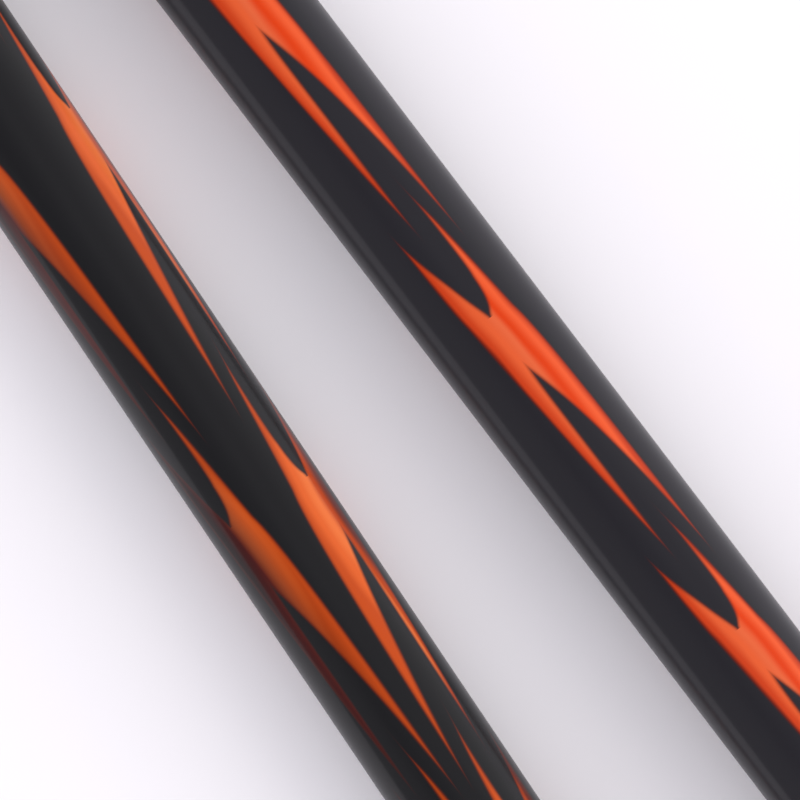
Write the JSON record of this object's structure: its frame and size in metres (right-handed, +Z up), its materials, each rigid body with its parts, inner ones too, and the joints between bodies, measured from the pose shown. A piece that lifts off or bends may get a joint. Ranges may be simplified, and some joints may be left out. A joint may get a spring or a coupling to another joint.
{
  "type": "golf alignment stick",
  "caption": "Slim glossy rod with a flame-printed film, in halves that lie side by side, swing into line and lock with a sliding sleeve, with rubber caps.",
  "frame": {"origin": "middle of the front half, on its axis", "axes": "+X along the front half towards its ground point, +Y towards the rear half beside it, +Z up from the surface they lie on"},
  "size_m": [0.613, 0.0579, 0.01],
  "materials": {
    "rod_core": "pultruded glass fibre, ground dull",
    "front_film": "clear-coated printed film, orange flames on black",
    "rear_film": "clear-coated printed film, orange flames on black",
    "ferrule_metal": "turned stainless steel",
    "ring_rubber": "black nitrile rubber",
    "cap_rubber": "moulded black rubber, dull",
    "sleeve_metal": "black anodised, turned grip grooves"
  },
  "bodies": {
    "front_section": {"front_rod": "rod_core", "front_film": "front_film", "front_ferrule": "ferrule_metal", "front_ring": "ring_rubber"},
    "rear_section": {"rear_rod": "rod_core", "rear_film": "rear_film", "rear_ferrule": "ferrule_metal", "rear_ring": "ring_rubber"},
    "joint_sleeve": {"joint_sleeve": "sleeve_metal"},
    "tip_guard": {"tip_guard": "cap_rubber"},
    "end_cap": {"end_cap": "cap_rubber"}
  },
  "joints": [
    {"name": "section_swing", "type": "hinge", "parent": "front_section", "child": "rear_section", "pos_m": [-0.30468, 0.00559, 0], "axis": [0, 0, 1], "range_deg": [0, 176.55]},
    {"name": "joint_sleeve_slide", "type": "slide", "parent": "rear_section", "child": "joint_sleeve", "axis": [-0.9982, -0.0602, 0], "range_m": [0, 0.022]},
    {"name": "tip_guard_pull", "type": "slide", "parent": "front_section", "child": "tip_guard", "axis": [1, 0, 0], "range_m": [0, 0.06]},
    {"name": "end_cap_pull", "type": "slide", "parent": "rear_section", "child": "end_cap", "axis": [0.9982, 0.0602, 0], "range_m": [0, 0.04]}
  ]
}
